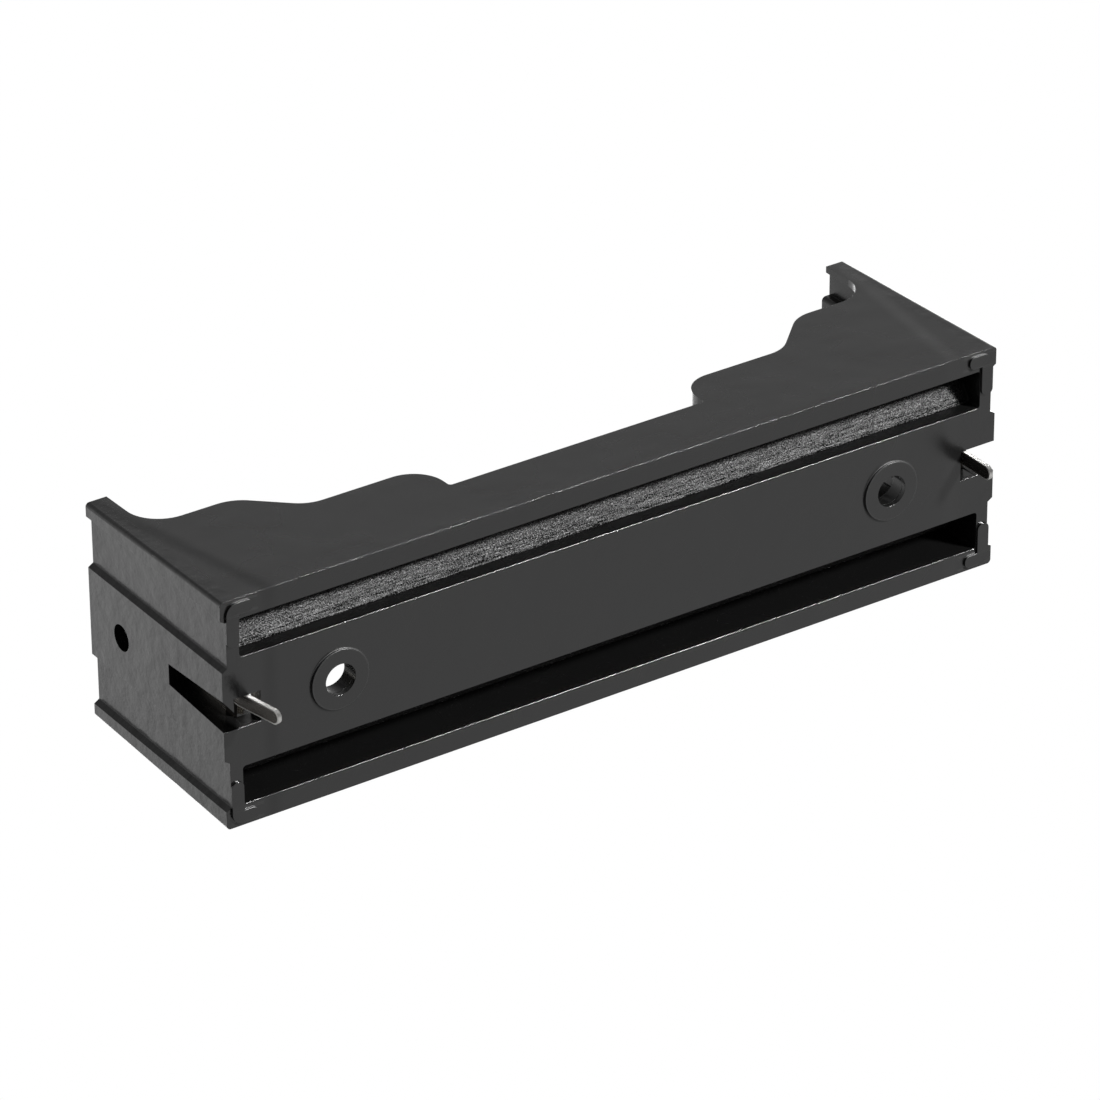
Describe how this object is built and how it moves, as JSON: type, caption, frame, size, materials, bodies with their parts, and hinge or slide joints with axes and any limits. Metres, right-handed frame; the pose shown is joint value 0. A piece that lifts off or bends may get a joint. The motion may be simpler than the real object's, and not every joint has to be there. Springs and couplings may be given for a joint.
{
  "type": "battery holder",
  "caption": "Open moulded tray for one long round cell, with stepped side walls, a folded spring contact and solder pin at each end, and screw holes in the floor.",
  "frame": {"origin": "middle of the two screw holes, in the plane of the mounting pads' faces", "axes": "+X along the cell, from the end with the leaning pin to the end with the straight pin; +Y across it; +Z out of the open side"},
  "size_m": [0.077, 0.0208, 0.0247],
  "materials": {
    "housing_plastic": "black moulded ABS, satin walls, grained trough",
    "contact_metal": "nickel-plated spring strip"
  },
  "bodies": {
    "root": {"housing": "housing_plastic", "negative_contact": "contact_metal", "positive_contact": "contact_metal"}
  },
  "joints": []
}
